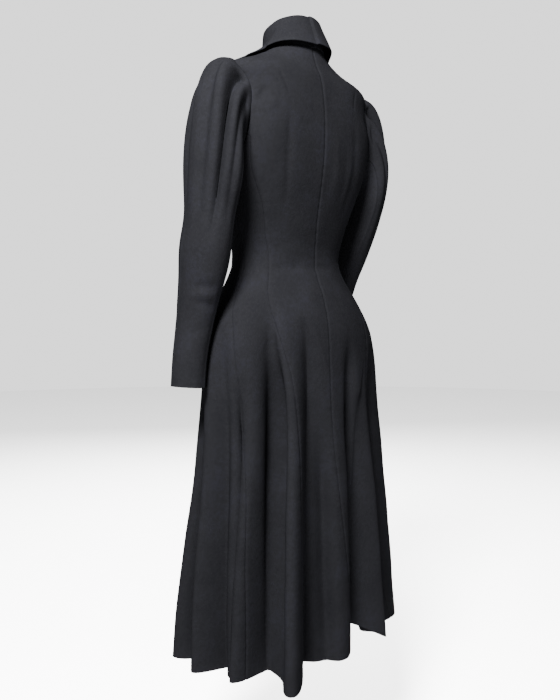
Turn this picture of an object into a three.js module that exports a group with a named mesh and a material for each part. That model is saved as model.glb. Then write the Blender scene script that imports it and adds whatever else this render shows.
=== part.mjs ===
// Princess coat in black wool, closed and holding the shape of a general figure that wears it.
//
// Millimetres, +Z up. The coat faces -Y, and its own left side is +X. The origin is where the coat is
// carried: midway between the two shoulder seams. Heights in the tables are above the hem.
//
// Every cloth piece is one closed wall, CLOTH thick. The body is a set of horizontal rings: a place on
// it is an angle round the ring (0 at the centre back, 90 at the left side, 180 at the centre front)
// and a height. A panel is the part of the rings between two seams. A sleeve is a tube of rings that
// starts on the armhole, and the collar is a folded strip that starts on the neckline.
import * as THREE from "three";

// ---- driving sizes ----------------------------------------------------------------------------------
const CLOTH = 2.4; // melton wool with its interfacing
const SEAM_GAP = 0.3; // between pieces that are sewn together
const SHOULDER = 1150; // from the hem up to the shoulder line, the origin
const NECK = 1184; // the back neckline
const ARMHOLE = { bottom: 928, top: 1131, back: 57, front: 54 }; // heights, and reach from the side
const ARMHOLE_SEAMS = { back: 985, front: 1030 }; // where the princess seams leave the armhole
const BREAK = 985; // the lapels start to turn back here
const OVERLAP = 24; // each front passes the centre front by this much
const NECK_OPENING = 46; // from the centre to each front's edge, at the neckline
const LAP = CLOTH + 1.2; // how far the right front lies over the left one
const BUTTON = { radius: 12, height: 5.2, sides: 16, clear: 0.5 };
const BUTTON_HEIGHTS = [956, 898, 840, 782, 724, 666];
const COLOURS = { cloth: "#313236", button: "#26272a" };

// ---- numbers ------------------------------------------------------------------------------------------
const DEG = Math.PI / 180;
const vector = (x, y, z) => new THREE.Vector3(x, y, z);
const mix = (a, b, t) => a + (b - a) * t;
const clamp = (v, low, high) => Math.min(high, Math.max(low, v));
const smooth = (t) => t * t * (3 - 2 * t);
const ramp = (v, from, to) => smooth(clamp((v - from) / (to - from), 0, 1));
const wrap = (degrees) => ((((degrees + 180) % 360) + 360) % 360) - 180;

// A natural cubic spline through the points (xs, ys), with xs rising. It is flat past its ends.
function spline(xs, ys) {
  const n = xs.length;
  const curve = new Array(n).fill(0);
  const work = new Array(n).fill(0);
  for (let i = 1; i < n - 1; i++) {
    const share = (xs[i] - xs[i - 1]) / (xs[i + 1] - xs[i - 1]);
    const pivot = share * curve[i - 1] + 2;
    const rise = (ys[i + 1] - ys[i]) / (xs[i + 1] - xs[i]);
    const before = (ys[i] - ys[i - 1]) / (xs[i] - xs[i - 1]);
    curve[i] = (share - 1) / pivot;
    work[i] = ((6 * (rise - before)) / (xs[i + 1] - xs[i - 1]) - share * work[i - 1]) / pivot;
  }
  curve[n - 1] = 0;
  for (let i = n - 2; i >= 0; i--) curve[i] = curve[i] * curve[i + 1] + work[i];
  return (x) => {
    if (x <= xs[0]) return ys[0];
    if (x >= xs[n - 1]) return ys[n - 1];
    let k = 0;
    while (x > xs[k + 1]) k++;
    const step = xs[k + 1] - xs[k];
    const a = (xs[k + 1] - x) / step;
    const b = 1 - a;
    const bend = ((a ** 3 - a) * curve[k] + (b ** 3 - b) * curve[k + 1]) * ((step * step) / 6);
    return a * ys[k] + b * ys[k + 1] + bend;
  };
}

// A table's columns, each as a spline over the first column.
function columns(names, rows) {
  const sorted = [...rows].sort((p, q) => p[0] - q[0]);
  const xs = sorted.map((row) => row[0]);
  const entry = (name, i) => [name, spline(xs, sorted.map((row) => row[i + 1]))];
  return Object.fromEntries(names.slice(1).map(entry));
}

// ---- the body's rings -----------------------------------------------------------------------------------
// halfWidth is at the side, which lies at sideY; backY and frontY are the centre back and centre front.
// A squareness of 2 is an ellipse, and more is fuller at the corners.
const BODY = columns(
  ["height", "halfWidth", "sideY", "backY", "frontY", "backSquare", "frontSquare"],
  [
    [1200, 52, 4, 47, -56, 2.0, 2.0],
    [1184, 62, 3, 52, -60, 2.0, 2.0],
    [1165, 88, 2, 57, -64, 2.0, 2.0],
    [1150, 119, 1, 62, -69, 2.0, 2.1],
    [1140, 144, 0, 66, -74, 2.1, 2.2],
    [1131, 166, 0, 71, -80, 2.3, 2.3],
    [1095, 176, -1, 82, -96, 2.7, 2.4],
    [1040, 176, -2, 88, -114, 3.1, 2.4],
    [960, 171, -5, 86, -135, 3.1, 2.4],
    [915, 160, -8, 80, -137, 2.8, 2.4],
    [855, 142, -15, 66, -120, 2.5, 2.3],
    [805, 131, -21, 55, -101, 2.3, 2.2],
    [772, 128, -22, 50, -95, 2.2, 2.2],
    [740, 134, -22, 57, -98, 2.2, 2.2],
    [700, 156, -20, 77, -106, 2.2, 2.2],
    [650, 186, -13, 99, -112, 2.1, 2.1],
    [590, 206, -5, 108, -117, 2.1, 2.0],
    [510, 215, 0, 111, -125, 2.0, 2.0],
    [336, 225, -3, 122, -137, 2.3, 2.1],
    [150, 242, -10, 132, -158, 2.5, 2.2],
    [0, 250, -12, 140, -172, 2.7, 2.2],
  ],
);
const BUST = { x: 84, height: 935, reach: 80, rise: 13 };

// The skirt hangs in rounded folds, each a cone that grows from the hips to the hem. A row is a ridge
// and the hollow beside it: their angles and radii at the hem, the height where they start, how far the
// ridge leans along the ring, and how far the hollow's hem is lifted.
const FOLDS = [
  // ridge, out, hollow, in, start, lean, lift
  [112, 243, 102, 204, 600, 0, 0],
  [93, 236, 84, 172, 640, 0, 0],
  [74, 222, 59, 146, 700, 0, 0],
  [45, 236, 30, 108, 650, -10, 0],
  [-7, 142, -39, 108, 500, 0, 38],
  [-49, 196, -62, 160, 600, 0, 0],
  [-78, 266, -91, 210, 640, 0, 0],
  [-103, 248, -115, 190, 600, 0, 0],
  [-128, 226, -140, 166, 600, 0, 0],
  [-151, 200, -163, 169, 560, 0, 0],
  [-180, 174, 163, 169, 460, 0, 0],
  [151, 202, 140, 166, 560, 0, 0],
  [130, 227, 121, 190, 600, 0, 0],
];
const RIDGE_FULLNESS = 0.75; // less than 1 makes the ridges broad and the hollows narrow
const FOLD_GROWTH = { ridge: 1.12, hollow: 0.85 }; // 1 is a plain cone, less opens sooner

const TURNS = FOLDS.flatMap(([ridge, out, hollow, into, start, lean, lift]) => [
  { angle: ridge, radius: out, start, lean, lift: 0, ridge: true },
  { angle: hollow, radius: into, start, lean: 0, lift, ridge: false },
]).sort((p, q) => p.angle - q.angle);

// The folds' state at an angle: hem radius, start, lean and lift, between a ridge and a hollow.
function foldAt(angle) {
  const at = wrap(angle);
  let next = TURNS.findIndex((turn) => turn.angle > at);
  if (next < 0) next = 0;
  const p = TURNS[(next + TURNS.length - 1) % TURNS.length];
  const q = TURNS[next];
  const span = (q.angle - p.angle + 360) % 360;
  const share = ((at - p.angle + 360) % 360) / span;
  const toRidge = (1 - Math.cos(Math.PI * (q.ridge ? share : 1 - share))) / 2;
  const [ridge, hollow] = q.ridge ? [q, p] : [p, q];
  return {
    radius: mix(hollow.radius, ridge.radius, toRidge ** RIDGE_FULLNESS),
    start: mix(p.start, q.start, smooth(share)),
    growth: mix(FOLD_GROWTH.hollow, FOLD_GROWTH.ridge, toRidge),
    lean: ridge.lean * toRidge,
    lift: hollow.lift * (1 - toRidge),
  };
}

// The radius of a plain ring, before the folds.
function ringRadius(angle, height) {
  const sine = Math.abs(Math.sin(angle * DEG));
  const cosine = Math.cos(angle * DEG);
  const back = cosine > 0;
  const side = BODY.sideY(height);
  const depth = back ? BODY.backY(height) - side : side - BODY.frontY(height);
  const square = back ? BODY.backSquare(height) : BODY.frontSquare(height);
  const across = (sine / BODY.halfWidth(height)) ** square;
  const along = (Math.abs(cosine) / depth) ** square;
  return (across + along) ** (-1 / square);
}

// The angle of the place where a ring's front half passes x.
function frontAngle(x, height) {
  const depth = BODY.sideY(height) - BODY.frontY(height);
  const square = BODY.frontSquare(height);
  const share = clamp(Math.abs(x) / BODY.halfWidth(height), 0, 1);
  const y = depth * (1 - share ** square) ** (1 / square);
  return 180 - Math.atan2(x, y) / DEG;
}

// A point on the coat's outer face.
function face(angle, height) {
  const sine = Math.sin(angle * DEG);
  const cosine = Math.cos(angle * DEG);
  let radius = ringRadius(angle, height);
  let lean = 0;
  let lift = 0;
  if (height < 700) {
    const fold = foldAt(angle);
    const growth = Math.max(0, 1 - height / fold.start) ** fold.growth;
    radius += growth * (fold.radius - ringRadius(angle, 0));
    lean = growth * fold.lean;
    lift = fold.lift * Math.max(0, 1 - height / 300) ** 2;
  }
  const x = radius * sine + lean * cosine;
  let y = BODY.sideY(height) + radius * cosine - lean * sine;
  if (cosine < 0) {
    const away = Math.hypot(Math.abs(x) - BUST.x, height - BUST.height) / BUST.reach;
    if (away < 1) y -= BUST.rise * (1 - away * away) ** 2;
  }
  return vector(x, y, height + lift - SHOULDER);
}

// The outward normal of the outer face.
function outward(angle, height) {
  const round = face(angle + 0.4, height).sub(face(angle - 0.4, height));
  const up = face(angle, height + 1).sub(face(angle, height - 1));
  return up.cross(round).normalize();
}

const lift = (angle, height) => LAP * ramp(face(angle, height).x, -62, -30);
const surface = (angle, height, out) => face(angle, height).addScaledVector(outward(angle, height), out);

// ---- closed walls ----------------------------------------------------------------------------------------
// A wall between two grids of points. Seen from the outer face, the columns run to the right and the
// rows up.
function wall(outer, inner) {
  const across = outer[0].length;
  const positions = [...outer.flat(), ...inner.flat()].flatMap((p) => [p.x, p.y, p.z]);
  const out = (i, j) => i * across + j;
  const into = (i, j) => outer.length * across + out(i, j);
  const faces = [];
  const quad = (a, b, c, d) => faces.push(a, b, c, a, c, d);
  const end = across - 1;
  const top = outer.length - 1;
  for (let j = 0; j < end; j++) {
    for (let i = 0; i < top; i++) {
      quad(out(i, j), out(i, j + 1), out(i + 1, j + 1), out(i + 1, j));
      quad(into(i, j), into(i + 1, j), into(i + 1, j + 1), into(i, j + 1));
    }
    quad(out(0, j), into(0, j), into(0, j + 1), out(0, j + 1));
    quad(out(top, j), out(top, j + 1), into(top, j + 1), into(top, j));
  }
  for (let i = 0; i < top; i++) {
    quad(out(i, 0), out(i + 1, 0), into(i + 1, 0), into(i, 0));
    quad(out(i, end), into(i, end), into(i + 1, end), out(i + 1, end));
  }
  return solid(positions, faces);
}

function solid(positions, faces) {
  const geometry = new THREE.BufferGeometry();
  geometry.setAttribute("position", new THREE.Float32BufferAttribute(positions, 3));
  geometry.setIndex(faces);
  geometry.computeVertexNormals();
  return geometry;
}

const coat = new THREE.Group();
coat.name = "princess_coat";

function piece(name, geometry, colour = COLOURS.cloth) {
  const material = new THREE.MeshStandardMaterial({ color: colour, roughness: 0.95, metalness: 0 });
  const mesh = new THREE.Mesh(geometry, material);
  mesh.name = name;
  coat.add(mesh);
}

// ---- seams ---------------------------------------------------------------------------------------------------
// The angle of each seam. The skirt swings a little to the coat's right, so its two sides differ.
const SEAMS = columns(
  ["height", "centreBack", "leftBack", "leftSide", "leftFront", "rightBack", "rightSide", "rightFront"],
  [
    [1030, 0, 70.2, 90, 109.0, -70.2, -90, -109.0],
    [1005, 0, 70.2, 90, 123, -70.2, -90, -123],
    [985, 0, 70.2, 90, 133, -70.2, -90, -133],
    [950, 0, 71.0, 90, 143, -71.0, -90, -143],
    [915, 0, 70.4, 90, 150, -70.4, -90, -150],
    [855, -2, 65.0, 89, 151, -65.0, -89, -151],
    [811, -5, 63.5, 87, 150, -63.5, -87, -150],
    [772, -8, 61.5, 84, 148, -61.5, -84, -148],
    [740, -5, 60.0, 82, 146, -60.0, -82, -146],
    [671, 1, 57.0, 80, 145, -57.0, -80, -145],
    [633, 3, 53.5, 78, 145, -54.0, -79, -145],
    [560, 4, 46.5, 76, 146, -51.0, -79, -146],
    [442, 2, 41.5, 72, 147, -53.0, -81, -146],
    [327, -3, 39.5, 69, 147, -58.0, -87, -146],
    [203, -10, 38.5, 68, 147, -64.0, -94, -147],
    [78, -20, 38.0, 67, 147, -69.0, -102, -148],
    [0, -28, 37.5, 67, 147, -72.0, -107, -148],
  ],
);

// The armhole meets the side at its top and bottom, and between them reaches to the back and front.
const armholeShare = (h) => {
  const middle = (ARMHOLE.top + ARMHOLE.bottom) / 2;
  return clamp((h - middle) / (ARMHOLE.top - middle), -1, 1);
};
function armholeEdge(height, front) {
  const reach = (front ? ARMHOLE.front : ARMHOLE.back) * Math.sqrt(1 - armholeShare(height) ** 2);
  const side = BODY.sideY(height);
  const depth = front ? side - BODY.frontY(height) : BODY.backY(height) - side;
  const square = front ? BODY.frontSquare(height) : BODY.backSquare(height);
  const x = BODY.halfWidth(height) * (1 - (reach / depth) ** square) ** (1 / square);
  return Math.atan2(x, front ? -reach : reach) / DEG;
}

// The left front's edge passes the centre front up to the break, then runs to the side of the neck.
function openingEdge(height) {
  const up = clamp((height - BREAK) / (NECK - BREAK), 0, 1);
  return frontAngle(mix(-OVERLAP, NECK_OPENING, up ** 0.85), height);
}

// ---- body panels ------------------------------------------------------------------------------------------------
const ROWS = [
  0, 55, 110, 170, 230, 290, 350, 410, 470, 525, 575, 620, 662, 702, 738, 772, 805, 838, 870, 900, 928,
  940, 953, 968, 985, 1005, 1030, 1053, 1077, 1098, 1114, 1124, 1131, 1136, 1143, 1151, 1161, 1172, 1184,
];

// The wall between two seams, each a function of the height. Angles fall from the first to the second,
// which is from left to right seen from outside. over moves the wall out where it lies on another.
function panel(name, first, second, top, steps, over = () => 0) {
  const outer = [];
  const inner = [];
  for (const height of ROWS.filter((row) => row <= top)) {
    const trim = (angle) => {
      const degree = face(angle + 0.2, height).distanceTo(face(angle - 0.2, height)) / 0.4;
      return SEAM_GAP / 2 / degree;
    };
    const from = first(height) - trim(first(height));
    const to = second(height) + trim(second(height));
    const angles = Array.from({ length: steps + 1 }, (_, j) => mix(from, to, j / steps));
    outer.push(angles.map((angle) => surface(angle, height, over(angle, height))));
    inner.push(angles.map((angle) => surface(angle, height, over(angle, height) - CLOTH)));
  }
  piece(name, wall(outer, inner));
}

const underArm = (front) => (h) => (h >= ARMHOLE.bottom ? armholeEdge(h, front) : SEAMS.leftSide(h));
const rightUnderArm = (front) => (h) => (h >= ARMHOLE.bottom ? -armholeEdge(h, front) : SEAMS.rightSide(h));
const besideArm = (h, front) => (h >= ARMHOLE.top ? 90 : armholeEdge(h, front));
const leftBackEdge = (h) => (h > ARMHOLE_SEAMS.back ? besideArm(h, false) : SEAMS.leftBack(h));
const leftFrontEdge = (h) => (h > ARMHOLE_SEAMS.front ? besideArm(h, true) : SEAMS.leftFront(h));
const rightBackEdge = (h) => (h > ARMHOLE_SEAMS.back ? -besideArm(h, false) : SEAMS.rightBack(h));
const rightFrontEdge = (h) => (h > ARMHOLE_SEAMS.front ? -besideArm(h, true) : SEAMS.rightFront(h));

panel("back_left", leftBackEdge, SEAMS.centreBack, NECK, 9);
panel("back_right", SEAMS.centreBack, rightBackEdge, NECK, 9);
panel("side_back_left", underArm(false), SEAMS.leftBack, ARMHOLE_SEAMS.back, 6);
panel("side_back_right", SEAMS.rightBack, rightUnderArm(false), ARMHOLE_SEAMS.back, 6);
panel("side_front_left", SEAMS.leftFront, underArm(true), ARMHOLE_SEAMS.front, 9);
panel("side_front_right", rightUnderArm(true), SEAMS.rightFront, ARMHOLE_SEAMS.front, 7);
panel("front_left", openingEdge, leftFrontEdge, NECK, 8);
panel("front_right", rightFrontEdge, (h) => -openingEdge(h), NECK, 8, lift);

// ---- sleeves -----------------------------------------------------------------------------------------------------
// A sleeve is a ring at each height of these tables: its middle, its half width across and from front
// to back, and how much higher its outer side is. The right arm is carried further forward.
const SLEEVE_COLUMNS = ["height", "x", "y", "halfWidth", "halfDepth", "slant"];
const LEFT_SLEEVE = columns(SLEEVE_COLUMNS, [
  [900, 213, 7, 37, 69, 22],
  [883, 213, 5, 37, 66, 16],
  [835, 214, 0, 36, 58, 4],
  [787, 218, -5, 37, 58, 0],
  [741, 218, -13, 36, 54, 0],
  [680, 222, -23, 32, 44, 0],
  [633, 227, -28, 30, 37, 0],
  [587, 234, -29, 29, 34, 0],
  [524, 240, -28, 29, 32, 2],
]);
const RIGHT_SLEEVE = columns(SLEEVE_COLUMNS, [
  [900, 211, -17, 37, 69, 22],
  [883, 211, -20, 37, 66, 16],
  [835, 208, -31, 36, 58, 4],
  [787, 206, -54, 37, 57, 0],
  [741, 207, -76, 36, 52, 0],
  [680, 214, -98, 32, 43, 0],
  [633, 221, -112, 30, 37, 0],
  [587, 229, -122, 29, 34, 0],
  [524, 240, -132, 29, 32, 2],
]);
const SLEEVE_ROWS = [524, 560, 597, 633, 668, 703, 738, 770, 800, 828, 852, 876, 900];
const CAP_SHARES = [0.88, 0.73, 0.57, 0.4, 0.24, 0.1, 0]; // from the top sleeve row to the armhole
const CAP = { out: 55, rise: 13, fall: 118, under: 9, drop: -2, underFall: 10 };
const SLEEVE_SEAMS = { outer: 1124, back: 985 }; // where they leave the armhole, in front and behind

// The head is gathered into the armhole. Each hollow has its angle round the sleeve (0 outermost, 90 at
// the back), its depth, and its half width in degrees.
const GATHERS = [
  { angle: 84, depth: 6, width: 16 },
  { angle: 53, depth: 14, width: 18 },
  { angle: 16, depth: 9, width: 18 },
  { angle: -30, depth: 9, width: 19 },
  { angle: -74, depth: 6, width: 18 },
];

// How deep the gathers are. down is 0 at the armhole, 1 at the cap's end and more below it.
function gatherDepth(angle, down) {
  const strength = ramp(down, 2, 0.5) * ramp(down, 0, 0.14);
  let depth = 0;
  for (const hollow of GATHERS) {
    const away = Math.abs(wrap(angle - hollow.angle)) / hollow.width;
    if (away < 1) depth += hollow.depth * (0.5 + 0.5 * Math.cos(Math.PI * away));
  }
  return depth * strength;
}

// The sleeve's columns start at the ends of the body rows on the armhole, from its top by the back.
const ARM_ROWS = ROWS.filter((row) => row >= ARMHOLE.bottom && row <= ARMHOLE.top);
const ROUND = [
  ...[...ARM_ROWS].reverse().map((height) => ({ height, front: false })),
  ...ARM_ROWS.slice(1, -1).map((height) => ({ height, front: true })),
];

// A sleeve's outer face as rows of points, from the cuff to the armhole. side is 1 on the left.
function sleeveFace(table, side) {
  const shapes = ROUND.map(({ height, front }) => {
    const angle = (Math.acos(armholeShare(height)) / DEG) * (front ? -1 : 1);
    return { height, front, angle, cosine: Math.cos(angle * DEG), sine: Math.sin(angle * DEG) };
  });
  const ring = ({ cosine, sine }, level) => {
    const x = table.x(level) + table.halfWidth(level) * cosine;
    const y = table.y(level) + table.halfDepth(level) * sine;
    return vector(side * x, y, level + table.slant(level) * cosine - SHOULDER);
  };
  const gathered = (point, { angle, cosine, sine }, down, up) =>
    point.addScaledVector(vector(side * cosine, sine, up).normalize(), -gatherDepth(angle, down));
  const tube = SLEEVE_ROWS.map((level) =>
    shapes.map((shape) => gathered(ring(shape, level), shape, 1 + (SLEEVE_ROWS.at(-1) - level) / 130, 0)),
  );
  const cap = CAP_SHARES.map((share) =>
    shapes.map((shape) => {
      const upper = (1 + shape.cosine) / 2;
      const start = surface(side * armholeEdge(shape.height, shape.front), shape.height, SEAM_GAP);
      const end = ring(shape, SLEEVE_ROWS.at(-1));
      const slope = end.clone().sub(ring(shape, SLEEVE_ROWS.at(-1) - 12)).normalize();
      const out = vector(side * mix(CAP.under, CAP.out, upper), 6 * shape.sine, mix(CAP.drop, CAP.rise, upper));
      const leave = start.clone().add(out);
      const arrive = end.clone().addScaledVector(slope, mix(CAP.underFall, CAP.fall, upper ** 0.8));
      const curve = new THREE.CubicBezierCurve3(start, leave, arrive, end);
      return gathered(curve.getPoint(share), shape, share, 0.4 * upper * (1 - share));
    }),
  );
  return [...tube, ...cap];
}

// The inner face of a tube of points: each is moved in along the normal of its neighbours.
function insideOf(rows, side) {
  const count = rows[0].length;
  return rows.map((row, i) =>
    row.map((point, j) => {
      const round = row[(j + 1) % count].clone().sub(row[(j + count - 1) % count]);
      const up = rows[Math.min(i + 1, rows.length - 1)][j].clone().sub(rows[Math.max(i - 1, 0)][j]);
      const normal = up.cross(round).multiplyScalar(side).normalize();
      return point.clone().addScaledVector(normal, CLOTH);
    }),
  );
}

// The columns of a tube between two seams, with half the seam gap left at each.
function stripOf(rows, from, to, side) {
  const near = (p, q) => p.clone().lerp(q, SEAM_GAP / 2 / p.distanceTo(q));
  return rows.map((row) => {
    const points = [];
    for (let j = from; j <= to; j++) points.push(row[j % row.length]);
    const strip = [near(points[0], points[1]), ...points.slice(1, -1), near(points.at(-1), points.at(-2))];
    return side < 0 ? strip.reverse() : strip;
  });
}

for (const [name, table, side] of [["left", LEFT_SLEEVE, 1], ["right", RIGHT_SLEEVE, -1]]) {
  const outer = sleeveFace(table, side);
  const inner = insideOf(outer, side);
  const outerSeam = ROUND.findIndex((end) => end.front && end.height === SLEEVE_SEAMS.outer);
  const backSeam = ROUND.findIndex((end) => !end.front && end.height === SLEEVE_SEAMS.back);
  const strip = (from, to) => wall(stripOf(outer, from, to, side), stripOf(inner, from, to, side));
  piece(`sleeve_top_${name}`, strip(outerSeam, ROUND.length + backSeam));
  piece(`sleeve_under_${name}`, strip(backSeam, outerSeam));
}

// ---- collar ---------------------------------------------------------------------------------------------------------
// One folded strip, from the left lapel's point round the neck to the right one's. A row is a place on
// the seam (0 is the centre back, 1 the side of the neck, 2 the lapel's point), the fold's height above
// the seam and its lean outwards, and the free edge: how far it is turned from the seam towards the arm,
// its drop below the seam, and its distance off the coat. The left lapel goes under the right front.
const COLLAR_COLUMNS = ["place", "rise", "leanOut", "turn", "drop", "off"];
const COLLAR_BACK = [
  [0.0, 63, -24, 0, 1, 13],
  [0.35, 62, -24, 0, 3, 14],
  [0.7, 55, -19, 1, 8, 13],
  [1.0, 43, -9, 8, 20, 7],
  [1.1, 36, -5, 26, 28, 6],
];
const PAST_BACK = [-COLLAR_BACK[1][0], ...COLLAR_BACK[1].slice(1)]; // the halves meet level
const LAPELS = {
  left: {
    end: 1077,
    table: columns(COLLAR_COLUMNS, [
      PAST_BACK,
      ...COLLAR_BACK,
      [1.2, 27, 1, 35, 34, 6],
      [1.4, 16, 6, 38, 44, 7],
      [1.6, 9, 5, 38, 56, 6.5],
      [1.8, 8, 5, 30, 66, 6],
      [2.0, 7, 5, 16, 66, 5.5],
    ]),
  },
  right: {
    end: BREAK,
    table: columns(COLLAR_COLUMNS, [
      PAST_BACK,
      ...COLLAR_BACK,
      [1.2, 27, 1, 39, 32, 6.5],
      [1.4, 16, 6, 47, 28, 7],
      [1.6, 9, 5, 43, 23, 6.5],
      [1.8, 8, 5, 34, 10, 6],
      [2.0, 7, 5, 14, -8, 5.5],
    ]),
  },
};
const COLLAR_ROLL = { neck: 9, lapel: 4 }; // radius of the fold
const FALL_STEPS = 5;

// The seam's places from the centre back to a lapel's point: an angle and a height each.
const NECK_ANGLES = [0, 15, 30, 45, 60, 75, 90];
function collarSeam(end) {
  const low = NECK + 20;
  return [
    ...NECK_ANGLES.map((angle) => ({ place: angle / 90, angle, height: NECK })),
    ...ROWS.filter((row) => row >= end)
      .reverse()
      .map((height) => ({ place: 1 + (low - height) / (low - end), angle: openingEdge(height), height })),
  ];
}

// The middle of the collar's cloth at one place of the seam, from the seam to the free edge.
function collarSection(seam, index, table, side) {
  const { place, angle, height } = seam[index];
  const over = (a, h) => (side < 0 ? lift(a, h) : 0);
  const at = (i) => face(side * seam[i].angle, seam[i].height);
  const along = index === 0 ? vector(side, 0, 0) : at(Math.min(index + 1, seam.length - 1)).sub(at(index - 1));
  const normal = outward(side * angle, height).setZ(0).normalize();
  const beyond = along.cross(normal).multiplyScalar(side).normalize();
  const foot = surface(side * angle, height, over(side * angle, height));
  const step = (up, out) => foot.clone().addScaledVector(beyond, up).addScaledVector(normal, out - CLOTH / 2);
  const rise = table.rise(place);
  const leanOut = table.leanOut(place);
  const start = SEAM_GAP + 0.2;
  const roll = Math.min(mix(COLLAR_ROLL.neck, COLLAR_ROLL.lapel, ramp(place, 0.7, 1.3)), rise * 0.6);
  const points = [
    step(start, 0),
    step(mix(start, rise - roll, 0.5), leanOut * 0.3 * ramp(rise, 20, 50)),
    step(rise - roll, leanOut),
    step(rise - roll * 0.29, leanOut + roll * 0.29),
    step(rise, leanOut + roll),
    step(rise - roll * 0.29, leanOut + roll * 1.71),
  ];
  const turned = step(rise - roll, leanOut + 2 * roll);
  const edgeAngle = side * (angle - table.turn(place));
  const edgeHeight = height - table.drop(place);
  const edge = surface(edgeAngle, edgeHeight, table.off(place) + over(edgeAngle, edgeHeight));
  for (let k = 0; k <= FALL_STEPS; k++) {
    const share = k / FALL_STEPS;
    const a = mix(side * angle, edgeAngle, share);
    const h = mix(height, edgeHeight, share);
    const off = mix(leanOut + 2 * roll - CLOTH / 2, table.off(place), share);
    const onCoat = surface(a, h, off + over(a, h));
    points.push(turned.clone().lerp(edge, share).lerp(onCoat, ramp(place, 0.7, 1.25)));
  }
  return points;
}

function collarWall() {
  const half = ({ end, table }, side) => {
    const seam = collarSeam(end);
    return seam.map((_, i) => collarSection(seam, i, table, side));
  };
  const rows = [...half(LAPELS.left, 1).reverse(), ...half(LAPELS.right, -1).slice(1)];
  const last = rows.length - 1;
  const end = rows[0].length - 1;
  const moved = (amount) =>
    rows.map((row, i) =>
      row.map((point, j) => {
        const along = rows[Math.min(i + 1, last)][j].clone().sub(rows[Math.max(i - 1, 0)][j]);
        const across = row[Math.min(j + 1, end)].clone().sub(row[Math.max(j - 1, 0)]);
        return point.clone().addScaledVector(along.cross(across).normalize(), amount);
      }),
    );
  return wall(moved(-CLOTH / 2), moved(CLOTH / 2));
}
piece("collar", collarWall());

// ---- buttons ----------------------------------------------------------------------------------------------------------
// Covered buttons on the right front, along the centre front.
function button(height) {
  const normal = outward(180, height);
  const foot = surface(180, height, LAP);
  const high = [-15.5, -8, 0, 8, 15.5].map((up) => surface(180, height + up, LAP).sub(foot).dot(normal));
  const middle = foot.clone().addScaledVector(normal, Math.max(...high) + BUTTON.clear);
  const turn = new THREE.Quaternion().setFromUnitVectors(vector(0, 0, 1), normal);
  const profile = [
    [0.8, 0],
    [1, 0.3],
    [0.92, 0.65],
    [0.6, 0.92],
  ];
  const positions = [];
  const faces = [];
  const n = BUTTON.sides;
  const put = (x, y, z) => positions.push(...vector(x, y, z).applyQuaternion(turn).add(middle).toArray());
  for (const [radius, level] of profile)
    for (let j = 0; j < n; j++) {
      const angle = (2 * Math.PI * j) / n;
      put(BUTTON.radius * radius * Math.cos(angle), BUTTON.radius * radius * Math.sin(angle), BUTTON.height * level);
    }
  put(0, 0, 0);
  put(0, 0, BUTTON.height);
  const under = n * profile.length;
  for (let j = 0; j < n; j++) {
    const next = (j + 1) % n;
    for (let i = 0; i < profile.length - 1; i++) {
      const low = i * n;
      faces.push(low + j, low + next, low + n + next, low + j, low + n + next, low + n + j);
    }
    const rim = n * (profile.length - 1);
    faces.push(under, next, j, under + 1, rim + j, rim + next);
  }
  return solid(positions, faces);
}
BUTTON_HEIGHTS.forEach((height, i) => piece(`button_${i + 1}`, button(height), COLOURS.button));

export default coat;
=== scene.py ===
"""A princess coat in black wool, worn closed and standing hollow, with no wearer inside."""

import math

import bpy
import numpy as np
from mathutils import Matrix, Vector


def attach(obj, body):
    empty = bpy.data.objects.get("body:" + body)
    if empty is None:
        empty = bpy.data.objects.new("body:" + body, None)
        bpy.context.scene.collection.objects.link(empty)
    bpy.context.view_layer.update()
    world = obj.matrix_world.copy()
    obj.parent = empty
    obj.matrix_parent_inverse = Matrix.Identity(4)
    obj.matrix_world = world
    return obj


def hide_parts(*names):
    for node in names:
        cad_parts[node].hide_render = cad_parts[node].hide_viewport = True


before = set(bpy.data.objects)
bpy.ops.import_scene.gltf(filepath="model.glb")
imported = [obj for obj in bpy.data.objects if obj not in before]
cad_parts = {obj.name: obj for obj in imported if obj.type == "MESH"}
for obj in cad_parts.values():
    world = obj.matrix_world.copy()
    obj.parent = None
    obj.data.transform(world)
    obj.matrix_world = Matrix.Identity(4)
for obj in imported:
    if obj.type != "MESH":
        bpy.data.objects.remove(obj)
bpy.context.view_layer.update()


# ---- The body: eight long panels ---------------------------------------------------------------------------
# A princess coat has no waist seam. Eight panels run from the shoulders or the armholes to the hem, fitted
# at the waist and flared below it, sewn edge to edge and pressed. Sizes are in millimetres; a place on the
# body is an angle round it (0 centre back, 90 left side, 180 centre front) and a height above the hem.
METRE = 0.001
CLOTH = 2.4
SEAM_GAP = 0.3
SHOULDER = 1150  # the origin's height, where a stand or a wearer carries the coat
NECK = 1184
ARMHOLE_BOTTOM, ARMHOLE_TOP, ARMHOLE_BACK, ARMHOLE_FRONT = 928, 1131, 57, 54
BACK_SEAM_TOP, FRONT_SEAM_TOP = 985, 1030  # where the princess seams meet the armholes
BREAK = 985  # where the lapels start to turn back
OVERLAP, LAP = 24, CLOTH + 1.2  # how far the fronts pass each other, and how high the right one lies
NECK_OPENING = 46
EDGE_ROLL = 0.6  # how far a sewn or folded edge rounds outwards
SKIRT_TOP, HEM_LIFT_TOP = 700, 300


def smooth(t):
    """0 to 1 with a level start and end."""
    return t * t * (3 - 2 * t)


def ramp(value, start, end):
    """A smooth rise from 0 at start to 1 at end."""
    return smooth(np.clip((value - start) / (end - start), 0, 1))


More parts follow.
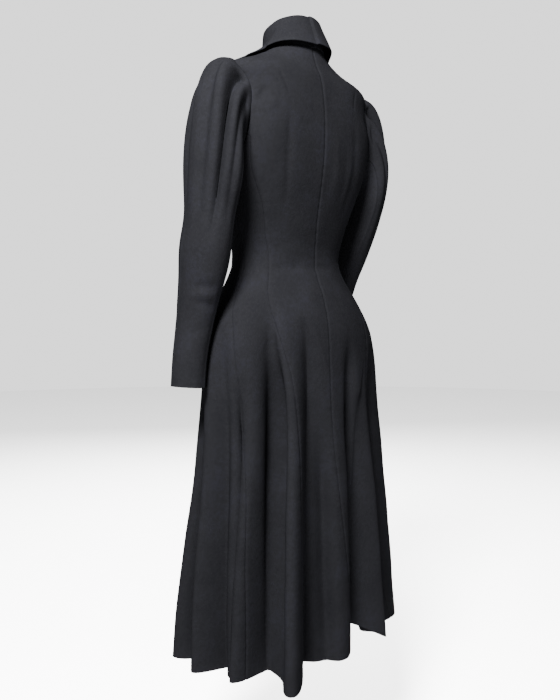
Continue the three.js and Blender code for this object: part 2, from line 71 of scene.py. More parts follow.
def spline(xs, ys):
    """A natural cubic spline through the points, flat past its ends."""
    xs, ys = np.array(xs, float), np.array(ys, float)
    n, step = len(xs), np.diff(xs)
    rows, right = np.eye(n), np.zeros(n)
    for i in range(1, n - 1):
        rows[i, i - 1 : i + 2] = step[i - 1], 2 * (step[i - 1] + step[i]), step[i]
        right[i] = 6 * ((ys[i + 1] - ys[i]) / step[i] - (ys[i] - ys[i - 1]) / step[i - 1])
    bend = np.linalg.solve(rows, right)

    def at(x):
        x = np.clip(x, xs[0], xs[-1])
        k = np.clip(np.searchsorted(xs, x, side="right") - 1, 0, n - 2)
        a = (xs[k + 1] - x) / step[k]
        b = 1 - a
        curve = (a**3 - a) * bend[k] + (b**3 - b) * bend[k + 1]
        return a * ys[k] + b * ys[k + 1] + curve * step[k] ** 2 / 6

    return at


def columns(names, rows):
    """A table's columns by name, each a spline over the first one."""
    table = np.array(sorted(rows), float).T
    return {name: spline(table[0], table[i + 1]) for i, name in enumerate(names)}


BODY = columns(
    ("halfWidth", "sideY", "backY", "frontY", "backSquare", "frontSquare"),
    [
        # height, halfWidth, sideY, backY, frontY, backSquare, frontSquare
        (1200, 52, 4, 47, -56, 2.0, 2.0),
        (1184, 62, 3, 52, -60, 2.0, 2.0),
        (1165, 88, 2, 57, -64, 2.0, 2.0),
        (1150, 119, 1, 62, -69, 2.0, 2.1),
        (1140, 144, 0, 66, -74, 2.1, 2.2),
        (1131, 166, 0, 71, -80, 2.3, 2.3),
        (1095, 176, -1, 82, -96, 2.7, 2.4),
        (1040, 176, -2, 88, -114, 3.1, 2.4),
        (960, 171, -5, 86, -135, 3.1, 2.4),
        (915, 160, -8, 80, -137, 2.8, 2.4),
        (855, 142, -15, 66, -120, 2.5, 2.3),
        (805, 131, -21, 55, -101, 2.3, 2.2),
        (772, 128, -22, 50, -95, 2.2, 2.2),
        (740, 134, -22, 57, -98, 2.2, 2.2),
        (700, 156, -20, 77, -106, 2.2, 2.2),
        (650, 186, -13, 99, -112, 2.1, 2.1),
        (590, 206, -5, 108, -117, 2.1, 2.0),
        (510, 215, 0, 111, -125, 2.0, 2.0),
        (336, 225, -3, 122, -137, 2.3, 2.1),
        (150, 242, -10, 132, -158, 2.5, 2.2),
        (0, 250, -12, 140, -172, 2.7, 2.2),
    ],
)
BUST_X, BUST_HEIGHT, BUST_REACH, BUST_RISE = 84, 935, 80, 13

# The skirt's folds, as in the solids: a ridge and the hollow beside it, with their angles and radii at the
# hem, the height where they start, how far the ridge leans round, and how far the hollow's hem is lifted.
FOLDS = [
    # ridge, out, hollow, in, start, lean, lift
    (112, 243, 102, 204, 600, 0, 0),
    (93, 236, 84, 172, 640, 0, 0),
    (74, 222, 59, 146, 700, 0, 0),
    (45, 236, 30, 108, 650, -10, 0),
    (-7, 142, -39, 108, 500, 0, 38),
    (-49, 196, -62, 160, 600, 0, 0),
    (-78, 266, -91, 210, 640, 0, 0),
    (-103, 248, -115, 190, 600, 0, 0),
    (-128, 226, -140, 166, 600, 0, 0),
    (-151, 200, -163, 169, 560, 0, 0),
    (-180, 174, 163, 169, 460, 0, 0),
    (151, 202, 140, 166, 560, 0, 0),
    (130, 227, 121, 190, 600, 0, 0),
]
RIDGE_FULLNESS, RIDGE_GROWTH, HOLLOW_GROWTH = 0.75, 1.12, 0.85

turns = [(ridge, out, start, lean, 0, 1) for ridge, out, _, _, start, lean, _ in FOLDS]
turns += [(hollow, into, start, 0, lift, 0) for _, _, hollow, into, start, _, lift in FOLDS]
TURNS = np.array(sorted(turns), float)


def fold_at(angle):
    """Hem radius, start, growth, lean and lift of the folds at an angle, between ridge and hollow."""
    at = (angle + 180) % 360 - 180
    after = np.searchsorted(TURNS[:, 0], at, side="right") % len(TURNS)
    before = (after - 1) % len(TURNS)
    p, q = TURNS[before], TURNS[after]
    share = (at - p[..., 0]) % 360 / ((q[..., 0] - p[..., 0]) % 360)
    to_ridge = (1 - np.cos(math.pi * np.where(q[..., 5] > 0, share, 1 - share))) / 2
    ridge = np.where(q[..., 5:] > 0, q, p)
    hollow = np.where(q[..., 5:] > 0, p, q)
    radius = hollow[..., 1] + (ridge[..., 1] - hollow[..., 1]) * to_ridge**RIDGE_FULLNESS
    start = p[..., 2] + (q[..., 2] - p[..., 2]) * smooth(share)
    growth = HOLLOW_GROWTH + (RIDGE_GROWTH - HOLLOW_GROWTH) * to_ridge
    return radius, start, growth, ridge[..., 3] * to_ridge, hollow[..., 4] * (1 - to_ridge)


def ring_radius(angle, height):
    """The radius of a plain ring of the body, before the folds."""
    sine, cosine = np.abs(np.sin(np.radians(angle))), np.cos(np.radians(angle))
    back, side = cosine > 0, BODY["sideY"](height)
    depth = np.where(back, BODY["backY"](height) - side, side - BODY["frontY"](height))
    square = np.where(back, BODY["backSquare"](height), BODY["frontSquare"](height))
    across, along = sine / BODY["halfWidth"](height), np.abs(cosine) / depth
    return (across**square + along**square) ** (-1 / square)


def front_angle(x, height):
    """The angle where a ring's front half passes x."""
    depth, square = BODY["sideY"](height) - BODY["frontY"](height), BODY["frontSquare"](height)
    share = np.clip(np.abs(x) / BODY["halfWidth"](height), 0, 1)
    return 180 - np.degrees(np.arctan2(x, depth * (1 - share**square) ** (1 / square)))


def face(angle, height):
    """Points on the coat's outer face."""
    angle, height = np.broadcast_arrays(np.array(angle, float), np.array(height, float))
    sine, cosine = np.sin(np.radians(angle)), np.cos(np.radians(angle))
    hem_radius, start, growth, lean, lift = fold_at(angle)
    skirt = height < SKIRT_TOP
    growth = np.where(skirt, np.maximum(0, 1 - height / start) ** growth, 0)
    radius = ring_radius(angle, height) + growth * (hem_radius - ring_radius(angle, 0 * height))
    x = radius * sine + growth * lean * cosine
    y = BODY["sideY"](height) + radius * cosine - growth * lean * sine
    away = np.hypot(np.abs(x) - BUST_X, height - BUST_HEIGHT) / BUST_REACH
    y = y - np.where(cosine < 0, BUST_RISE * np.maximum(0, 1 - away * away) ** 2, 0)
    up = np.where(skirt, lift * np.maximum(0, 1 - height / HEM_LIFT_TOP) ** 2, 0)
    return np.stack([x, y, height + up - SHOULDER], -1)


def unit(v):
    """Vectors made one long."""
    return v / np.maximum(np.linalg.norm(v, axis=-1, keepdims=True), 1e-9)


def outward(angle, height):
    """The outward normals of the outer face."""
    round_it = face(angle + 0.4, height) - face(angle - 0.4, height)
    return unit(np.cross(face(angle, height + 1) - face(angle, height - 1), round_it))


def surface(angle, height, out):
    """Points at a distance outside the outer face."""
    return face(angle, height) + outward(angle, height) * np.array(out, float)[..., None]


LAP_START, LAP_FULL = -62, -30  # where the right front starts to rise over the left one, and lies on it


def lap_lift(angle, height):
    """How far the right front lies over the left one."""
    return LAP * ramp(face(angle, height)[..., 0], LAP_START, LAP_FULL)


def not_lifted(angle, height):
    """For cloth that lies straight on the body."""
    return 0 * angle


# The angles of the seams, which swing round with the folds below the hips.
SEAMS = columns(
    ("centreBack", "leftBack", "leftSide", "leftFront", "rightBack", "rightSide", "rightFront"),
    [
        # height, centreBack, leftBack, leftSide, leftFront, rightBack, rightSide, rightFront
        (1030, 0, 70.2, 90, 109.0, -70.2, -90, -109.0),
        (1005, 0, 70.2, 90, 123, -70.2, -90, -123),
        (985, 0, 70.2, 90, 133, -70.2, -90, -133),
        (950, 0, 71.0, 90, 143, -71.0, -90, -143),
        (915, 0, 70.4, 90, 150, -70.4, -90, -150),
        (855, -2, 65.0, 89, 151, -65.0, -89, -151),
        (811, -5, 63.5, 87, 150, -63.5, -87, -150),
        (772, -8, 61.5, 84, 148, -61.5, -84, -148),
        (740, -5, 60.0, 82, 146, -60.0, -82, -146),
        (671, 1, 57.0, 80, 145, -57.0, -80, -145),
        (633, 3, 53.5, 78, 145, -54.0, -79, -145),
        (560, 4, 46.5, 76, 146, -51.0, -79, -146),
        (442, 2, 41.5, 72, 147, -53.0, -81, -146),
        (327, -3, 39.5, 69, 147, -58.0, -87, -146),
        (203, -10, 38.5, 68, 147, -64.0, -94, -147),
        (78, -20, 38.0, 67, 147, -69.0, -102, -148),
        (0, -28, 37.5, 67, 147, -72.0, -107, -148),
    ],
)
ARMHOLE_MIDDLE = (ARMHOLE_TOP + ARMHOLE_BOTTOM) / 2


def armhole_edge(height, front):
    """The angle of the armhole's edge at a height. It meets the side at its top and bottom."""
    share = np.clip((height - ARMHOLE_MIDDLE) / (ARMHOLE_TOP - ARMHOLE_MIDDLE), -1, 1)
    reach = np.where(front, ARMHOLE_FRONT, ARMHOLE_BACK) * np.sqrt(1 - share**2)
    side = BODY["sideY"](height)
    depth = np.where(front, side - BODY["frontY"](height), BODY["backY"](height) - side)
    square = np.where(front, BODY["frontSquare"](height), BODY["backSquare"](height))
    x = BODY["halfWidth"](height) * (1 - (reach / depth) ** square) ** (1 / square)
    return np.degrees(np.arctan2(x, np.where(front, -reach, reach)))


def opening_edge(height):
    """The left front's edge: past the centre up to the break, then out to the side of the neck."""
    up = np.clip((height - BREAK) / (NECK - BREAK), 0, 1) ** 0.85
    return front_angle(-OVERLAP + (NECK_OPENING + OVERLAP) * up, height)


def under_arm(seam, front, side):
    """A side panel's edge: the side seam, and the armhole's lower edge above it."""
    return lambda h: np.where(h >= ARMHOLE_BOTTOM, side * armhole_edge(h, front), seam(h))


# Soft creases of the body: three places along each, its half width, and its depth (a ridge is negative).
# They lie where the cloth is pressed, pulled by the arms, taken in at the waist, or folded deep in the skirt.
BODY_CREASES = [
    # angle, height, angle, height, angle, height, half width, depth
    (58, 1118, 50, 1094, 46, 1062, 2.2, 1.2),  # the long dart from the left shoulder
    (46, 1070, 45, 960, 48, 830, 7, 1.6),
    (-58, 1118, -50, 1094, -46, 1062, 2.2, 1.2),  # and from the right one
    (-46, 1070, -45, 960, -48, 830, 7, 1.4),
    (62, 750, 40, 744, 14, 750, 9, 3.2),  # the waist's creases across the back
    (26, 748, -14, 753, -48, 746, 8, 2.4),
    (56, 780, 30, 778, -10, 782, 14, -1.6),
    (40, 700, 10, 694, -24, 700, 14, -1.4),
    (62, 1082, 64, 1060, 69, 1040, 6, 3.0),  # drawn in beside the left arm
    (69, 1040, 72, 990, 74, 930, 8, 5.0),
    (56, 1064, 58, 1044, 62, 1026, 8, -1.6),
    (-34, 990, -38, 930, -36, 870, 9, 1.4),  # faint drags down the right back
    (-48, 985, -50, 930, -52, 880, 8, 1.2),
    (-20, 1020, -24, 950, -22, 880, 9, -1.0),
    (52, 690, 56, 628, 60, 566, 8, 3.6),  # where the deepest fold starts under the left hip
    (46, 668, 47, 620, 45, 570, 10, -1.5),
    (-62, 1070, -65, 1050, -70, 1034, 7, 2.4),  # beside the right arm
    (128, 860, 150, 838, 172, 846, 9, 1.4),  # the front's waist
    (-128, 858, -150, 842, -170, 850, 9, 1.4),
    (112, 1008, 124, 984, 138, 962, 9, 1.6),  # from the armholes towards the bust
    (-112, 1008, -124, 984, -138, 962, 9, 1.6),
    (96, 752, 116, 746, 138, 752, 9, 1.5),
    (-96, 752, -116, 746, -138, 752, 9, 1.5),
    (75, 600, 73, 250, 77, -150, 13, 32),  # the skirt's deepest valleys, from the left hip to the back
    (58, 660, 56, 300, 52, -150, 15, 34),
    (16, 500, 12, 240, 9, -150, 19, 18),
    (-25, 640, -28, 270, -31, -150, 15, 34),
    (48, 620, 44, 300, 44, -150, 18, -4),  # and the round ridge between them
]
LISTED_HOLLOWS = (84, 59, 30, -39)  # their valleys are in the list, and the others get plainer ones
VALLEY_MIDDLE, VALLEY_END, VALLEY_HALF_WIDTH, VALLEY_DEPTH = 260, -150, 13, 18
for _, _, hollow, _, start, _, _ in FOLDS:
    if hollow not in LISTED_HOLLOWS:
        line = (hollow, start, hollow, VALLEY_MIDDLE, hollow, VALLEY_END)
        BODY_CREASES.append((*line, VALLEY_HALF_WIDTH, VALLEY_DEPTH))
LINE_STEPS, CREASE_FADE = 7, 0.35  # the steps of a crease's line, and the share of it that fades at each end


def crease_depth(rows, across, along, scale):
    """How deep creases are at places given by two coordinates; scale turns the first one into lengths."""
    depth = np.zeros(np.broadcast(across, along).shape)
    t = np.linspace(0, 1, LINE_STEPS + 1)
    for a0, b0, a1, b1, a2, b2, half_width, deep in rows:
        a = (1 - t) ** 2 * a0 + 2 * t * (1 - t) * a1 + t * t * a2
        b = (1 - t) ** 2 * b0 + 2 * t * (1 - t) * b1 + t * t * b2
        near = np.full(depth.shape, np.inf)
        share = np.zeros(depth.shape)
        for k in range(LINE_STEPS):
            x, y = ((across - a[k] + 180) % 360 - 180) * scale, along - b[k]
            step_x, step_y = (a[k + 1] - a[k]) * scale, b[k + 1] - b[k]
            on_step = np.clip((x * step_x + y * step_y) / (step_x**2 + step_y**2), 0, 1)
            far = (x - on_step * step_x) ** 2 + (y - on_step * step_y) ** 2
            share = np.where(far < near, (k + on_step) / LINE_STEPS, share)
            near = np.minimum(near, far)
        ends = ramp(share, 0, CREASE_FADE) * ramp(-share, -1, CREASE_FADE - 1)
        depth += deep * ends * np.exp(-near / half_width**2)
    return depth


def unevenness(points):
    """The slow waviness of hanging wool, about a millimetre."""
    x, y, z = (points[..., k] for k in range(3))
    wave = np.sin(x / 31 + 1.3 * np.sin(z / 57)) * np.sin(y / 27 + z / 43)
    return 0.45 * wave + 0.3 * np.sin(z / 23 + x / 19 + 2 * np.sin(y / 41))


def row_lengths(points):
    """The distance along each row of a grid from its first point."""
    steps = np.linalg.norm(np.diff(points, axis=1), axis=-1)
    return np.concatenate([np.zeros((len(points), 1)), np.cumsum(steps, axis=1)], axis=1)


def added(name, data):
    """A new object in the scene."""
    piece = bpy.data.objects.new(name, data)
    bpy.context.scene.collection.objects.link(piece)
    return piece


def shell(name, outer, inner, worn):
    """A closed wall between two grids in millimetres, with rounded edges. Rows run up and columns to the
    right, seen from outside. The last argument is 0 to 1 for each place: how much the material pales it, for
    wear and a painted sheen."""
    up, across = outer.shape[:2]
    number = np.arange(up * across).reshape(up, across)
    loop = [number[0, :-1], number[:-1, -1], number[-1, :0:-1], number[:0:-1, 0]]
    inside = [number[1, :-1], number[:-1, -2], number[-2, :0:-1], number[:0:-1, 1]]
    loop, inside = np.concatenate(loop), np.concatenate(inside)
    flat_out, flat_in = outer.reshape(-1, 3), inner.reshape(-1, 3)
    middle, half = (flat_out[loop] + flat_in[loop]) / 2, (flat_out[loop] - flat_in[loop]) / 2
    past = unit(flat_out[loop] - flat_out[inside])
    rings = [loop]
    points = [flat_out]
    for turn in (45, 90, 135):
        round_it = math.radians(turn)
        points.append(middle + half * math.cos(round_it) + past * EDGE_ROLL * math.sin(round_it))
        rings.append(np.arange(len(loop)) + sum(len(p) for p in points[:-1]))
    points.append(flat_in)
    base = sum(len(p) for p in points[:-1])
    rings.append(loop + base)
    a, b, c, d = number[:-1, :-1], number[:-1, 1:], number[1:, 1:], number[1:, :-1]
    quads = [np.stack([a, b, c, d], -1).reshape(-1, 4)]
    quads.append(np.stack([a, d, c, b], -1).reshape(-1, 4) + base)
    for here, there in zip(rings, rings[1:]):
        quads.append(np.stack([np.roll(here, -1), here, there, np.roll(there, -1)], -1))
    quads, points = np.concatenate(quads), np.concatenate(points) * METRE
    mesh = bpy.data.meshes.new(name)
    mesh.vertices.add(len(points))
    mesh.vertices.foreach_set("co", points.ravel())
    mesh.loops.add(quads.size)
    mesh.loops.foreach_set("vertex_index", quads.ravel())
    mesh.polygons.add(len(quads))
    mesh.polygons.foreach_set("loop_start", np.arange(len(quads)) * 4)
    mesh.polygons.foreach_set("use_smooth", np.ones(len(quads), bool))
    mesh.update(calc_edges=True)
    along = row_lengths(outer)
    rise = row_lengths(np.swapaxes(outer, 0, 1)[across // 2 : across // 2 + 1])[0]
    along = along - along[:, across // 2, None]
    cloth = np.stack([along, np.broadcast_to(rise[:, None], along.shape)], -1).reshape(-1, 2) * METRE
    rim = [cloth[loop]] * 3
    cloth = np.concatenate([cloth, *rim, cloth])
    mesh.uv_layers.new(name="cloth").data.foreach_set("uv", cloth[quads.ravel()].ravel())
    # The material pales each place by this much, for wear and a painted sheen.
    worn = np.broadcast_to(worn, (up, across)).reshape(-1)
    worn = np.concatenate([worn, *[worn[loop]] * 3, worn])
    mesh.attributes.new("worn", "FLOAT", "POINT").data.foreach_set("value", worn)
    return added(name, mesh)


def linear(hex_colour):
    """An sRGB hex colour as linear RGBA."""
    parts = [int(hex_colour[i : i + 2], 16) / 255 for i in (1, 3, 5)]
    return [c / 12.92 if c <= 0.04045 else ((c + 0.055) / 1.055) ** 2.4 for c in parts] + [1]


def add_node(tree, kind, inputs=(), **settings):
    """Adds a node with its settings, and its inputs as values or as (node, output) links."""
    node = tree.nodes.new(kind)
    for name, value in settings.items():
        setattr(node, name, value)
    for name, value in dict(inputs).items():
        if isinstance(value, tuple) and isinstance(value[0], bpy.types.Node):
            tree.links.new(value[0].outputs[value[1]], node.inputs[name])
        else:
            node.inputs[name].default_value = value
    return node


def calculated(tree, operation, *values):
    """A math node on values or links."""
    return add_node(tree, "ShaderNodeMath", dict(enumerate(values)), operation=operation)


# Melton is a heavy twill, fulled and shorn: its weave hardly shows, its nap is short and has no shine at
# all, and its surface is uneven by a shade. Pressed seams and folded edges are a little smoother, and paler
# from wear and lint and from a painted sheen.
# The palest colour is that of stray fibres, and also of the painted sheen on pressed seams and edges.
WOOL_DARK, WOOL_MIDDLE, WOOL_PALE, LINT_AND_SHEEN = "#060607", "#070708", "#08080a", "#101113"
TWILL_MM, FIBRE_MM, MOTTLE_MM, CLOUD_MM = 1.3, 0.9, 7, 60
TWILL_SLANT, FIBRE_STRETCH, RUBBED_AND_SHEEN = 38, 0.35, 0.12


def wool(name, dark, middle, pale, roughness=0.92):
    """Black wool in three near shades, with short pale fibres, a faint twill and a soft uneven nap."""
    material = bpy.data.materials.new(name)
    material.use_nodes = True
    tree = material.node_tree
    tree.nodes.clear()

    def noise(place, size, **look):
        inputs = {"Vector": place, "Scale": 1000 / size, **look}
        return add_node(tree, "ShaderNodeTexNoise", inputs)

    def bumps(pattern, strength, depth, **below):
        inputs = {"Height": (pattern, "Fac"), "Strength": strength, "Distance": depth, **below}
        return add_node(tree, "ShaderNodeBump", inputs)

    place = add_node(tree, "ShaderNodeTexCoord")
    worn = add_node(tree, "ShaderNodeAttribute", attribute_name="worn")
    cloud = noise((place, "Object"), CLOUD_MM, Detail=3.0)
    mottle = noise((place, "Object"), MOTTLE_MM, Detail=5.0, Roughness=0.6)
    lay = add_node(tree, "ShaderNodeMapping", {"Vector": (place, "UV"), "Scale": (1.0, FIBRE_STRETCH, 1.0)})
    fibre = noise((lay, "Vector"), FIBRE_MM, Detail=4.0, Distortion=0.6)
    slant = add_node(
        tree,
        "ShaderNodeMapping",
        {"Vector": (place, "UV"), "Rotation": (0, 0, math.radians(TWILL_SLANT))},
    )
    twill = add_node(
        tree,
        "ShaderNodeTexWave",
        {"Vector": (slant, "Vector"), "Scale": 1000 / TWILL_MM / 6.28, "Distortion": 1.5},
        wave_type="BANDS",
    )
    blend = calculated(tree, "MULTIPLY", (cloud, "Fac"), (mottle, "Fac"))
    shades = add_node(tree, "ShaderNodeValToRGB", {"Fac": (blend, 0)})
    shades.color_ramp.elements[0].position = 0.12
    shades.color_ramp.elements[0].color = linear(dark)
    shades.color_ramp.elements[1].position = 0.42
    shades.color_ramp.elements[1].color = linear(pale)
    shades.color_ramp.elements.new(0.25).color = linear(middle)
    hairs = add_node(
        tree,
        "ShaderNodeMapRange",
        {"Value": (fibre, "Fac"), "From Min": 0.56, "From Max": 0.8, "To Min": 0.0, "To Max": 0.5},
    )
    nap = add_node(
        tree,
        "ShaderNodeMix",
        {"Factor": (hairs, "Result"), "A": (shades, "Color"), "B": linear(LINT_AND_SHEEN)},
        data_type="RGBA",
    )
    # Mixed towards the pale fibre colour at seams and edges: partly real wear, partly a painted sheen of
    # pressed cloth.
    rubbed_and_sheen = calculated(tree, "MULTIPLY", (worn, "Fac"), RUBBED_AND_SHEEN)
    colour = add_node(
        tree,
        "ShaderNodeMix",
        {"Factor": (rubbed_and_sheen, 0), "A": (nap, "Result"), "B": linear(LINT_AND_SHEEN)},
        data_type="RGBA",
    )
    matt = add_node(
        tree,
        "ShaderNodeMapRange",
        {"Value": (worn, "Fac"), "To Min": roughness, "To Max": roughness - 0.14},
    )
    ground = bumps(mottle, 0.5, 0.0012)
    weave = bumps(twill, 0.25, 0.0003, Normal=(ground, "Normal"))
    pile = bumps(fibre, 0.6, 0.0006, Normal=(weave, "Normal"))
    shader = add_node(
        tree,
        "ShaderNodeBsdfPrincipled",
        {
            "Base Color": (colour, "Result"),
            "Roughness": (matt, "Result"),
            "Normal": (pile, "Normal"),
            "Specular IOR Level": 0.0,
        },
    )
    add_node(tree, "ShaderNodeOutputMaterial", {"Surface": (shader, "BSDF")})
    return material


black_melton = wool("black_melton_wool", WOOL_DARK, WOOL_MIDDLE, WOOL_PALE)


def spaced(start, end, step, edge=(1.2, 3.0, 6.0)):
    """Heights from start to end about step apart, closer at both ends."""
    near = np.array([0.0, *edge])
    inside = np.arange(start + edge[-1] + step, end - edge[-1] - step / 2, step)
    return np.unique(np.concatenate([start + near, inside, end - near]))


SEAM_TRIM = EDGE_ROLL - 0.15  # the rounded edges press into each other, so no light comes through
GROOVE_WIDTH, GROOVE_DEPTH = 2.4, 0.9
PUCKER_LENGTH, PUCKER_REACH, PUCKER_RISE = 21, 13, 0.28
EDGE_SHARES = (0.0, 0.004, 0.009, 0.016, 0.026, 0.04)  # grid columns close to a seam, as shares of the width
INNER_SHARE = 0.055
ROW_STEP, COLUMN_STEP, WIDE_RADIUS = 5.0, 4.2, 220
TRIM_TURN, WIDEST_TRIM = 0.4, 0.32  # degrees across which a trim is measured, and its largest share


def across_panel(count):
    """Shares of a piece's width for its grid's columns, closer at both seams."""
    inside = np.linspace(INNER_SHARE, 1 - INNER_SHARE, count)
    return np.concatenate([EDGE_SHARES, inside, 1 - np.array(EDGE_SHARES[::-1])])


def seam_trim(edge, height):
    """How many degrees a panel's edge stays back from its seam."""
    span = face(edge + TRIM_TURN / 2, height) - face(edge - TRIM_TURN / 2, height)
    return SEAM_TRIM / np.linalg.norm(span, axis=-1) * TRIM_TURN


# How much seams and the hem pale, from wear and a painted sheen on the pressed cloth.
WEAR_AND_SHEEN_WIDTH, SEAM_WEAR_AND_SHEEN, HEM_WEAR_AND_SHEEN = 3, 0.06, 0.2


def edge_wear_and_sheen(amount, distance, middle=WEAR_AND_SHEEN_WIDTH):
    """How much the cloth pales beside a pressed seam or a folded edge, from wear and a painted sheen."""
    return amount * np.exp(-(((distance - middle) / WEAR_AND_SHEEN_WIDTH) ** 2))


def panel(name, first, second, top, over=not_lifted, front_edge=0):
    """One panel between two seams, as angles for each height, first on the left seen from outside.
    front_edge is -1 or 1 where the first or second edge is the coat's front edge."""
    heights = spaced(0, top, ROW_STEP)
    widest = (first(heights) - second(heights)).max() * math.radians(1) * WIDE_RADIUS
    shares = across_panel(max(8, round(widest / COLUMN_STEP)))
    h = heights[:, None] + 0 * shares
    a, b = first(heights)[:, None], second(heights)[:, None]
    first_trim, second_trim = (
        np.minimum(seam_trim(edge, h[:, :1]), (a - b) * WIDEST_TRIM) for edge in (a, b)
    )
    angle = a - first_trim + (b + second_trim - a + first_trim) * shares
    bare = face(angle, h)
    left = row_lengths(bare)
    right = left[:, -1:] - left
    edges = np.minimum(left, right)
    to_seam = {-1: right, 0: edges, 1: left}[front_edge]
    groove = -GROOVE_DEPTH * np.exp(-((to_seam / GROOVE_WIDTH) ** 2))
    pucker = np.sin(h / PUCKER_LENGTH * 2 * math.pi + 2 * np.sin(h / 37))
    pucker = pucker * np.exp(-to_seam / PUCKER_REACH)
    scale = math.radians(1) * ring_radius(angle, h)
    out = groove + PUCKER_RISE * pucker - crease_depth(BODY_CREASES, angle, h, scale)
    out = out + unevenness(bare) * ramp(to_seam, 0, 30) + over(angle, h)
    # Paler beside the seams and at the hem, from wear and a painted sheen.
    worn = edge_wear_and_sheen(SEAM_WEAR_AND_SHEEN, edges) + HEM_WEAR_AND_SHEEN * np.exp(-h / WEAR_AND_SHEEN_WIDTH)
    outer = surface(angle, h, out)
    piece = shell("wool_" + name, outer, outer - outward(angle, h) * CLOTH, worn)
    piece.data.materials.append(black_melton)
    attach(piece, "root")
    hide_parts(name)


def princess_edge(seam, seam_top, front, side):
    """A long panel's edge: a princess seam, the armhole above it, and the shoulder above that."""

    def edge(h):
        beside_arm = np.where(h >= ARMHOLE_TOP, 90, armhole_edge(h, front))
        return np.where(h > seam_top, side * beside_arm, seam(h))

    return edge


def mirrored_opening(height):
    """The right front's edge."""
    return -opening_edge(height)


left_back_edge = princess_edge(SEAMS["leftBack"], BACK_SEAM_TOP, False, 1)
left_front_edge = princess_edge(SEAMS["leftFront"], FRONT_SEAM_TOP, True, 1)
right_back_edge = princess_edge(SEAMS["rightBack"], BACK_SEAM_TOP, False, -1)
right_front_edge = princess_edge(SEAMS["rightFront"], FRONT_SEAM_TOP, True, -1)

panel("back_left", left_back_edge, SEAMS["centreBack"], NECK)
panel("back_right", SEAMS["centreBack"], right_back_edge, NECK)
panel("side_back_left", under_arm(SEAMS["leftSide"], False, 1), SEAMS["leftBack"], BACK_SEAM_TOP)
panel("side_back_right", SEAMS["rightBack"], under_arm(SEAMS["rightSide"], False, -1), BACK_SEAM_TOP)
panel("side_front_left", SEAMS["leftFront"], under_arm(SEAMS["leftSide"], True, 1), FRONT_SEAM_TOP)
panel("side_front_right", under_arm(SEAMS["rightSide"], True, -1), SEAMS["rightFront"], FRONT_SEAM_TOP)
panel("front_left", opening_edge, left_front_edge, NECK, front_edge=-1)
panel("front_right", right_front_edge, mirrored_opening, NECK, over=lap_lift, front_edge=1)


# ---- The sleeves -------------------------------------------------------------------------------------------
# Two-piece sleeves with full heads gathered into the armholes, so soft hollows run down from the seam. They
# narrow to plain open cuffs. The right arm is carried further forward than the left.
SLEEVE_NAMES = ("x", "y", "halfWidth", "halfDepth", "slant")
LEFT_SLEEVE = columns(
    SLEEVE_NAMES,
    [
        # height, x, y, halfWidth, halfDepth, slant
        (900, 213, 7, 37, 69, 22),
        (883, 213, 5, 37, 66, 16),
        (835, 214, 0, 36, 58, 4),
        (787, 218, -5, 37, 58, 0),
        (741, 218, -13, 36, 54, 0),
        (680, 222, -23, 32, 44, 0),
        (633, 227, -28, 30, 37, 0),
        (587, 234, -29, 29, 34, 0),
        (524, 240, -28, 29, 32, 2),
    ],
)
RIGHT_SLEEVE = columns(
    SLEEVE_NAMES,
    [
        # height, x, y, halfWidth, halfDepth, slant
        (900, 211, -17, 37, 69, 22),
        (883, 211, -20, 37, 66, 16),
        (835, 208, -31, 36, 58, 4),
        (787, 206, -54, 37, 57, 0),
        (741, 207, -76, 36, 52, 0),
        (680, 214, -98, 32, 43, 0),
        (633, 221, -112, 30, 37, 0),
        (587, 229, -122, 29, 34, 0),
        (524, 240, -132, 29, 32, 2),
    ],
)
CUFF, HEAD_BASE = 524, 900
# The head's cloth leaves the armhole outwards and upwards, and comes down on the tube like a bent spring.
CAP_OUT, CAP_RISE, CAP_FALL, CAP_UNDER, CAP_DROP, CAP_UNDER_FALL = 55, 13, 118, 9, -2, 10
CAP_ROUND, CAP_LENGTH, HEAD_LEAN, HEAD_ROLL = 6, 130, 0.4, 1.1
GATHERS = [
    # angle (0 outermost, 90 at the back), depth, half width in degrees
    (84, 6, 16),
    (53, 21, 15),
    (16, 9, 18),
    (-30, 9, 19),
    (-74, 6, 18),
]
OUTER_SEAM_HEIGHT, BACK_SEAM_HEIGHT = 1124, 985
SLEEVE_ROUND = 62  # the usual radius of an arm's ring, for lengths round it
SLEEVE_ROW_STEP, SLEEVE_COLUMNS, HEAD_STEP, SLOPE_STEP = 4.5, 44, 0.02, 12
# How much the sleeves' seams and cuffs pale, from wear and a painted sheen.
SLEEVE_SEAM_WEAR_AND_SHEEN, CUFF_WEAR_AND_SHEEN = 0.12, 0.3
LEFT_SLEEVE_CREASES = [
    # angle, down, angle, down, angle, down, half width, depth (down is in mm below the armhole)
    (64, 16, 58, 60, 60, 110, 6, 2.0),
    (26, 18, 22, 60, 30, 120, 7, 2.0),
    (-20, 16, -26, 60, -22, 120, 7, 2.0),
    (60, 120, 52, 190, 50, 260, 10, 1.8),
    (100, 330, 60, 318, 20, 326, 9, 3.0),  # folds at the elbow
    (110, 366, 70, 352, 30, 348, 9, 2.4),
    (90, 348, 50, 336, 10, 340, 8, -2.0),
    (160, 340, 180, 330, 200, 338, 8, 2.4),
    (30, 410, 60, 396, 100, 404, 10, 1.4),
    (-30, 380, -60, 368, -90, 376, 10, 1.4),
]
RIGHT_SLEEVE_CREASES = [
    (62, 16, 56, 60, 62, 110, 6, 2.0),
    (24, 18, 20, 60, 30, 120, 7, 2.0),
    (-22, 16, -28, 60, -20, 120, 7, 2.0),
    (70, 130, 80, 190, 84, 250, 10, 1.8),
    (150, 330, 120, 322, 90, 334, 9, 2.6),
    (160, 360, 130, 350, 96, 354, 9, 2.4),
    (40, 340, 70, 330, 100, 340, 8, 1.8),
    (-140, 330, -120, 322, -90, 330, 9, 2.6),
]


